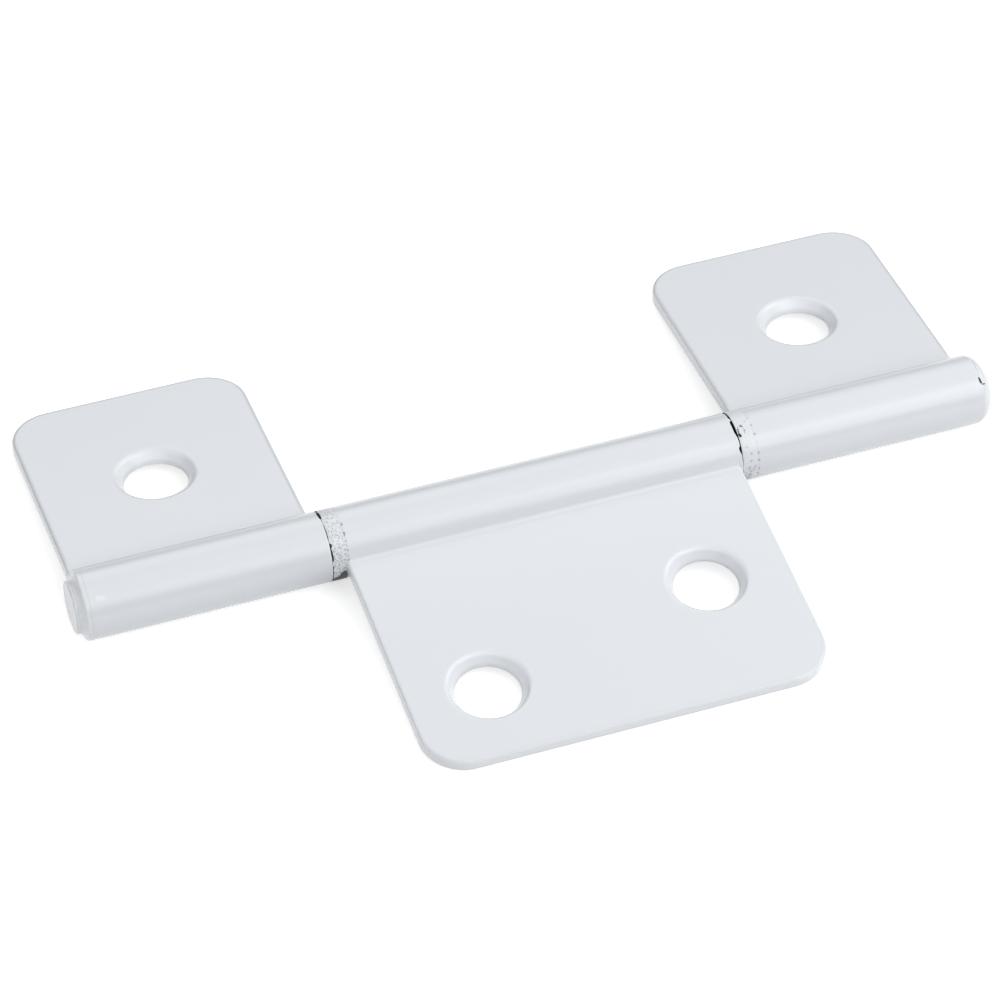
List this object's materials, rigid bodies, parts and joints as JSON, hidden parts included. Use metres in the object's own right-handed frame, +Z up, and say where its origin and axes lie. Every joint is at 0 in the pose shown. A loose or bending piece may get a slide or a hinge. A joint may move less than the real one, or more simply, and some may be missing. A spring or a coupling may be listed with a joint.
{
  "type": "non-mortise hinge",
  "caption": "Non-mortise hinge: curled outer leaves and a wide middle leaf with countersunk screw holes swing on one headed pin and nest in each other when closed.",
  "frame": {"origin": "middle of the hinge's outline, on the table that it lies on", "axes": "+X along the pin from the upset tip to the head, +Y towards the two outer leaves, +Z up"},
  "size_m": [0.108, 0.067, 0.008],
  "materials": {
    "leaf_coating": "glossy white powder coat on steel sheet, faint orange peel",
    "pin_coating": "white powder coat on steel, bare where the coat has cracked",
    "washer_nylon": "pale nylon with patchy, speckled overspray"
  },
  "bodies": {
    "left_side": {"left_leaf": "leaf_coating", "hinge_pin": "pin_coating"},
    "centre_side": {"centre_leaf": "leaf_coating", "left_washer": "washer_nylon"},
    "right_side": {"right_leaf": "leaf_coating", "right_washer": "washer_nylon"}
  },
  "joints": [
    {"name": "centre_leaf_swing", "type": "hinge", "parent": "left_side", "child": "centre_side", "pos_m": [0, 0.0001, 0.004], "axis": [-1, 0, 0], "continuous": true},
    {"name": "right_leaf_swing", "type": "hinge", "parent": "left_side", "child": "right_side", "pos_m": [0, 0.0001, 0.004], "axis": [1, 0, 0], "continuous": true}
  ]
}
